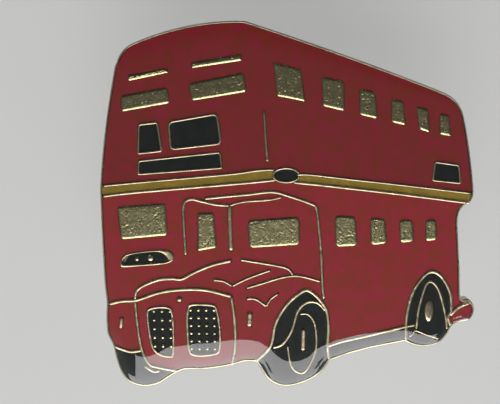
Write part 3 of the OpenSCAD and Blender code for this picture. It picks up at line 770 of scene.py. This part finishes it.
def between_values(tree, value, low, high, to_low, to_high):
    """Maps a value from one range to another, held at its ends."""
    links = {"Value": value, "From Min": low, "From Max": high, "To Min": to_low, "To Max": to_high}
    return shader(tree, "ShaderNodeMapRange", links).outputs[0]


def mixed(tree, share, a, b):
    """Mixes two colours by a share."""
    return shader(tree, "ShaderNodeMix", {0: share, 6: a, 7: b}, data_type="RGBA").outputs[2]


def worked(tree, operation, a, b):
    """One value worked out from two, such as their product."""
    return shader(tree, "ShaderNodeMath", {0: a, 1: b}, operation=operation).outputs[0]


def bump(tree, height, depth):
    """Bump of a depth in millimetres from a height of 0 to 1."""
    return shader(tree, "ShaderNodeBump", {"Height": height, "Distance": depth * MM}).outputs[0]


def shaded(colour, by):
    """A colour times a factor."""
    return tuple(by * part for part in colour)


def worn_metal(name, bright, dull, rough=(0.16, 0.32), grain_size=0.05, grain_depth=0.004, patch=1.4):
    """Plated metal: dull patches over bright plating, uneven gloss, and fine grain. Sizes in millimetres."""
    material, tree, bsdf = finish_material(name)
    patches = between_values(tree, noise(tree, patch, 4), 0.38, 0.66, 0, 1)
    fine = noise(tree, grain_size, 3)
    speck = between_values(tree, fine, 0.35, 0.7, 0, 0.5)
    join_inputs(tree, bsdf, {
        "Base Color": mixed(tree, worked(tree, "MAXIMUM", patches, speck), bright, dull),
        "Metallic": 1.0,
        "Roughness": between_values(tree, patches, 0, 1, *rough),
        "Normal": bump(tree, fine, grain_depth),
    })
    return material


def enamel(name, colour, shade):
    """Enamel under the resin: two close shades in soft clouds, a trace of fine mottle, and a slow ripple."""
    material, tree, bsdf = finish_material(name)
    clouds = between_values(tree, noise(tree, 0.9, 4), 0.38, 0.62, 0, 1)
    mottle = between_values(tree, noise(tree, 0.25, 3), 0.38, 0.62, 0, 0.7)
    join_inputs(tree, bsdf, {
        "Base Color": mixed(tree, mottle, mixed(tree, clouds, colour, shade), shade),
        "Roughness": 0.45,
        "Specular IOR Level": 0.12,
        "Normal": bump(tree, noise(tree, 0.5, 2), 0.012),
    })
    return material


RESIN_TINT = (0.985, 0.99, 0.98)


def clear_resin(name, rough=None):
    """Clear resin: see-through, with gloss by Fresnel on its outer side, and a slow ripple.

    With no roughness given, it is only see-through.
    """
    material, tree, bsdf = finish_material(name)
    tree.nodes.remove(bsdf)
    surface = shader(tree, "ShaderNodeBsdfTransparent", {"Color": (1, 1, 1) if rough is None else RESIN_TINT})
    if rough is not None:
        ripple = bump(tree, noise(tree, 2.5, 1), 0.02)
        facing = shader(tree, "ShaderNodeFresnel", {"IOR": 1.6, "Normal": ripple}).outputs[0]
        shine = {"Roughness": rough, "Normal": ripple, "Color": (1, 1, 1)}
        gloss = shader(tree, "ShaderNodeBsdfGlossy", shine).outputs[0]
        inside = shader(tree, "ShaderNodeNewGeometry").outputs["Backfacing"]
        share = worked(tree, "MULTIPLY", facing, worked(tree, "SUBTRACT", 1, inside))
        surface = shader(tree, "ShaderNodeMixShader", {0: share, 1: surface.outputs[0], 2: gloss})
    tree.links.new(surface.outputs[0], tree.nodes["Material Output"].inputs["Surface"])
    return material


# ---- settings


def colour(name, description, default):
    """Setting for a colour."""
    return FloatVectorProperty(name=name, description=description, subtype="COLOR", default=default)


def size(name, description, default):
    """Setting for a length."""
    return FloatProperty(name=name, description=description, unit="LENGTH", default=default)


class BadgeColours(bpy.types.PropertyGroup):
    """Colours of the metal and the enamels"""

    plating: colour("Plating", "Bright plating", (0.56, 0.465, 0.32))
    tarnish: colour("Tarnish", "Dull plating", (0.29, 0.265, 0.15))
    pane: colour("Pane", "Plating of the window panes", (0.42, 0.37, 0.19))
    red: colour("Red", "Body enamel", (0.265, 0.012, 0.034))
    red_shade: colour("Red shade", "Darker body enamel", (0.205, 0.022, 0.014))
    black: colour("Black", "Black enamel", (0.003, 0.0045, 0.0035))
    yellow: colour("Yellow", "Waist band enamel", (0.27, 0.175, 0.02))


class ResinSizes(bpy.types.PropertyGroup):
    """Shape and gloss of the clear dome"""

    inset: size("Inset", "Distance from the badge's edge to the resin", 0.05 * MM)
    shoulder: size("Shoulder", "Width of the resin's rounded edge", 1.35 * MM)
    gloss: FloatProperty(name="Roughness", description="Resin's roughness", subtype="FACTOR", default=0.03)


class StageSizes(bpy.types.PropertyGroup):
    """Floor and softbox"""

    floor: size("Floor", "Side of the floor", 0.9)
    distance: size("Lamp distance", "Distance of the softbox", 0.2)
    radiance: FloatProperty(name="Lamp radiance", description="Brightness, in W/sr/m2", default=4.4)
    tilt: FloatProperty(
        name="Lamp tilt", description="Angle from straight up", subtype="ANGLE", default=math.radians(48)
    )
    paper: colour("Floor colour", "Colour of the floor", (0.63, 0.64, 0.62))


# ---- operators


def line_surfaces():
    """Every raised line, and the frames of the signs, grilles, lozenge and oval."""
    lines = [ridge(curve(points), width, 10 + i) for i, (width, points) in enumerate(LINES)]
    for i, (width, radius, corners) in enumerate(SIGNS):
        inner = rounded(drawn_in(corners, width), max(radius - width, 0.03))
        lines.append(frame_between(rounded(corners, radius), inner, 100 + i))
    for i, points in enumerate(GRILLES):
        outer = even(loop(points), 160, True)
        lines.append(frame_between(outer, outer - left_normals(outer, True) * GRILLE_FRAME, 110 + i))
    outer, inner = (even(loop(points), 120, True) for points in (LOZENGE_OUTER, LOZENGE_INNER))
    lines.append(frame_between(outer, nearest_order(inner, outer), 120))
    inner = oval(OVAL_CENTRE, np.array(OVAL_RADII) - OVAL_FRAME)
    lines.append(frame_between(oval(OVAL_CENTRE, OVAL_RADII), inner, 121))
    return lines


def button_surfaces():
    """The grilles' studs in rows that lean, the single studs, and the rear hub."""
    studs = []
    for first, last, across, top, bottom, down in STUD_ROWS:
        for y in np.linspace(top, bottom, down):
            row = np.linspace(first, last, across) + STUD_LEAN * (top - y)
            studs += [stud_surface(x, y, STUD_RADIUS) for x in row]
    return [*studs, *[stud_surface(*dot) for dot in DOTS], hub_surface()]


class BADGE_OT_plate(bpy.types.Operator):
    """Struck plate with its rim, raised lines, frames, panes and studs"""

    bl_idname = "badge.plate"
    bl_label = "Struck Plate"

    def execute(self, context):
        colours = context.scene.badge_colours
        metal = worn_metal("plated metal", colours.plating, colours.tarnish)
        flats = worn_metal("pane metal", colours.pane, colours.tarnish, (0.24, 0.32), 0.06, 0.012, 0.4)
        edges = worn_metal("line metal", colours.plating, colours.tarnish, (0.27, 0.42), 0.07, 0.01, 0.7)
        panes = [pane_surface(corners, radius, 200 + 2 * i) for i, (radius, corners) in enumerate(PANES)]
        for name, patches, finish in (
            ("struck_plate", [plate_surface()], metal),
            ("raised_lines", line_surfaces(), edges),
            ("window_panes", [patch for pane in panes for patch in pane], flats),
            ("studs", button_surfaces(), metal),
        ):
            piece(name, patches, finish, "badge", ["base_plate"])
        return {"FINISHED"}


# Clouds in the black and yellow enamel, and the painted shade that darkens the upper deck's red, as factors
# of their colours
BLACK_CLOUDS, YELLOW_CLOUDS, UPPER_RED_PAINTED_SHADE = 2.2, 0.75, 0.75


class BADGE_OT_enamel(bpy.types.Operator):
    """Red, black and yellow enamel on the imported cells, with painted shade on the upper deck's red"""

    bl_idname = "badge.enamel"
    bl_label = "Enamel"

    def execute(self, context):
        colours = context.scene.badge_colours
        red, shade = colours.red, colours.red_shade
        finishes = {
            "red": enamel("red enamel", red, shade),
            "black": enamel("black enamel", colours.black, shaded(colours.black, BLACK_CLOUDS)),
            "yellow": enamel("yellow enamel", colours.yellow, shaded(colours.yellow, YELLOW_CLOUDS)),
            # Painted shade: the upper deck takes a darker copy of the body red
            "upper": enamel("upper red enamel with painted shade", shaded(red, UPPER_RED_PAINTED_SHADE), shaded(shade, UPPER_RED_PAINTED_SHADE)),
        }
        for name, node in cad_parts.items():
            kind = "upper" if name == "red_enamel_upper_deck" else name.split("_")[0]
            if kind in finishes:
                for place in node.material_slots:
                    place.material = finishes[kind]
        return {"FINISHED"}


class BADGE_OT_dome(bpy.types.Operator):
    """Clear resin dome over the face"""

    bl_idname = "badge.dome"
    bl_label = "Clear Dome"

    def execute(self, context):
        sizes = context.scene.badge_resin
        resin = clear_resin("clear resin", sizes.gloss)
        dome = piece("resin_dome", dome_surface(sizes), resin, "badge", ["clear_dome"]).data
        dome.materials.append(clear_resin("resin underside"))
        centres = np.zeros(len(dome.polygons) * 3)
        dome.polygons.foreach_get("center", centres)
        under = centres[2::3] < (FACE_Z - DOME_FOOT) * MM + WELD
        dome.polygons.foreach_set("material_index", under.astype(int).tolist())
        return {"FINISHED"}


# Bright and dull shades of the metals of the post and the clutch
STEEL = (0.62, 0.6, 0.55), (0.42, 0.4, 0.36)
SOLDER = (0.55, 0.54, 0.5), (0.34, 0.33, 0.3)
CLUTCH_BRASS = (0.78, 0.6, 0.3), (0.55, 0.42, 0.2)
SPRING_BRASS = (0.74, 0.56, 0.28), (0.5, 0.38, 0.18)


class BADGE_OT_post(bpy.types.Operator):
    """Post and the solder round its foot"""

    bl_idname = "badge.post"
    bl_label = "Post"

    def execute(self, context):
        steel = worn_metal("post steel", *STEEL, (0.18, 0.34), 0.08, 0.002, 0.8)
        piece("post_pin", [post_surface()], steel, "badge", ["post"])
        solder = worn_metal("solder", *SOLDER, (0.28, 0.5), 0.12, 0.01, 0.5)
        piece("post_solder", [solder_surface()], solder, "badge")
        return {"FINISHED"}


class BADGE_OT_clutch(bpy.types.Operator):
    """Butterfly clutch: face disc, pressed shell and two spring wings"""

    bl_idname = "badge.clutch"
    bl_label = "Butterfly Clutch"

    def execute(self, context):
        brass = worn_metal("clutch brass", *CLUTCH_BRASS, (0.16, 0.32), 0.1, 0.002, 1.8)
        spring = worn_metal("spring brass", *SPRING_BRASS, (0.2, 0.36), 0.1, 0.002, 1.2)
        piece("clutch_disc", [clutch_face_surface()], brass, "clutch", ["clutch_face"])
        shell = piece("clutch_body", [shell_surface()], brass, "clutch", ["clutch_shell"])
        thicken(shell, SHEET, -1)
        for side, name in ((-1, "wing_left"), (1, "wing_right")):
            wing = piece(name + "_spring", [wing_surface(side)], spring, name, [name])
            thicken(wing, WING_T - 0.02, 0)
        return {"FINISHED"}


# ---- stage

# The floor's colour to the camera, as a share, and the pale glow that the camera sees on it
FLOOR_SHARE, FLOOR_GLOW = 0.32, 0.38
# The softbox is made of panels in one plane, as shares of its distance: left, right, upper and lower edge
LAMP_PANELS = [(-0.4, 0.37, 0.5, -0.67), (-0.73, -0.4, 0.08, -0.67), (0.37, 0.6, 0.08, -0.67)]
# Strength of the sky overhead, low down, to the front, and as the camera sees it; its factor to the back
SKY_ZENITH, SKY_LOW, SKY_FRONT, SKY_SHOWN, SKY_BACK = 0.14, 0.1, 0.8, 0.8, 0.25
# Camera: place in millimetres, angles in degrees, and lens
CAMERA_PLACE, CAMERA_TURN, CAMERA_LENS = (-1.12, 4.11, FACE_Z + 54), (-4.09, 1.45, 0.16), 59.5


def paper_floor(sizes):
    """Square floor at height 0, whose colour to the camera is part lit and part glow."""
    place = np.linspace(-0.5, 0.5, 3) * sizes.floor
    vertices, quads = grid(raised(np.stack(np.meshgrid(place, place, indexing="ij"), 2), 0))
    material, tree, bsdf = finish_material("paper")
    seen = shader(tree, "ShaderNodeLightPath").outputs["Is Camera Ray"]
    join_inputs(tree, bsdf, {
        "Base Color": mixed(tree, seen, sizes.paper, shaded(sizes.paper, FLOOR_SHARE)),
        "Roughness": 0.9,
        "Specular IOR Level": 0.2,
        "Emission Color": (1, 1, 0.99),
        "Emission Strength": worked(tree, "MULTIPLY", seen, FLOOR_GLOW),
    })
    return mesh_object("floor", vertices, quads, material)


def softbox(sizes, left, right, top, bottom):
    """One panel of the softbox, turned to face the badge. Its power is pi * radiance * area."""
    lamp = bpy.data.lights.new("softbox", "AREA")
    wide, high = (right - left) * sizes.distance, (top - bottom) * sizes.distance
    lamp.shape, lamp.size, lamp.size_y = "RECTANGLE", wide, high
    lamp.energy = math.pi * sizes.radiance * wide * high
    place = bpy.data.objects.new("softbox", lamp)
    along, across = (top + bottom) / 2, (left + right) / 2
    sine, cosine = math.sin(sizes.tilt), math.cos(sizes.tilt)
    place.location = [sizes.distance * way for way in (across, along * cosine - sine, along * sine + cosine)]
    place.rotation_euler = (sizes.tilt, 0, 0)
    place.visible_camera = False
    bpy.context.scene.collection.objects.link(place)
    return place


def sky():
    """World light: front * up, at least the zenith's, times behind. It is pale all over to the camera.

    Front grows towards -Y, up falls near +Z, and behind falls towards +Y.
    """
    world = bpy.data.worlds.new("sky")
    world.use_nodes = True
    tree = world.node_tree
    way = shader(tree, "ShaderNodeTexCoord").outputs["Generated"]
    axes = shader(tree, "ShaderNodeSeparateXYZ", {0: way}).outputs
    front = between_values(tree, axes["Y"], -0.15, -0.85, SKY_LOW, SKY_FRONT)
    up = between_values(tree, axes["Z"], 0.7, 0.97, 1, 0.1)
    behind = between_values(tree, axes["Y"], 0.15, 0.6, 1, SKY_BACK)
    lit = worked(tree, "MAXIMUM", worked(tree, "MULTIPLY", front, up), SKY_ZENITH)
    seen = shader(tree, "ShaderNodeLightPath").outputs["Is Camera Ray"]
    links = {0: seen, 2: worked(tree, "MULTIPLY", lit, behind), 3: SKY_SHOWN}
    shown = shader(tree, "ShaderNodeMix", links).outputs[0]
    join_inputs(tree, tree.nodes["Background"], {"Strength": shown, "Color": (1, 1, 1)})
    bpy.context.scene.world = world


def camera():
    """Camera above the face, turned a little from straight down."""
    lens = bpy.data.cameras.new("camera")
    lens.lens, lens.sensor_width, lens.sensor_fit = CAMERA_LENS, 36, "HORIZONTAL"
    lens.clip_start, lens.clip_end = 1 * MM, 10
    view = bpy.data.objects.new("camera", lens)
    view.location = [way * MM for way in CAMERA_PLACE]
    view.rotation_euler = [math.radians(angle) for angle in CAMERA_TURN]
    bpy.context.scene.collection.objects.link(view)
    bpy.context.scene.camera = view


class BADGE_OT_stage(bpy.types.Operator):
    """Floor, softbox, sky and camera"""

    bl_idname = "badge.stage"
    bl_label = "Stage"

    def execute(self, context):
        sizes = context.scene.badge_stage
        paper_floor(sizes)
        [softbox(sizes, *panel) for panel in LAMP_PANELS]
        sky()
        camera()
        context.scene.view_settings.view_transform = "Standard"
        return {"FINISHED"}


# ---- panel and main


class BADGE_PT_panel(bpy.types.Panel):
    """Buttons and settings of the badge"""

    bl_label = "Enamel Badge"
    bl_idname = "BADGE_PT_panel"
    bl_space_type = "VIEW_3D"
    bl_region_type = "UI"
    bl_category = "Badge"

    def draw(self, context):
        for step in STEPS:
            self.layout.operator(step.bl_idname)
        for group in (context.scene.badge_colours, context.scene.badge_resin, context.scene.badge_stage):
            for name in group.__annotations__:
                self.layout.prop(group, name)


STEPS = (BADGE_OT_plate, BADGE_OT_enamel, BADGE_OT_dome, BADGE_OT_post, BADGE_OT_clutch, BADGE_OT_stage)
SETTINGS = {"badge_colours": BadgeColours, "badge_resin": ResinSizes, "badge_stage": StageSizes}


def register():
    """Registers the settings, the operators and the panel."""
    for name, group in SETTINGS.items():
        bpy.utils.register_class(group)
        setattr(bpy.types.Scene, name, PointerProperty(type=group))
    for step in (*STEPS, BADGE_PT_panel):
        bpy.utils.register_class(step)


def unregister():
    """Takes away what register added."""
    for step in reversed((*STEPS, BADGE_PT_panel)):
        bpy.utils.unregister_class(step)
    for name, group in SETTINGS.items():
        delattr(bpy.types.Scene, name)
        bpy.utils.unregister_class(group)


def main():
    """Makes the pieces in order."""
    register()
    bpy.ops.badge.plate()
    bpy.ops.badge.enamel()
    bpy.ops.badge.dome()
    bpy.ops.badge.post()
    bpy.ops.badge.clutch()
    bpy.ops.badge.stage()


if __name__ == "__main__":
    main()
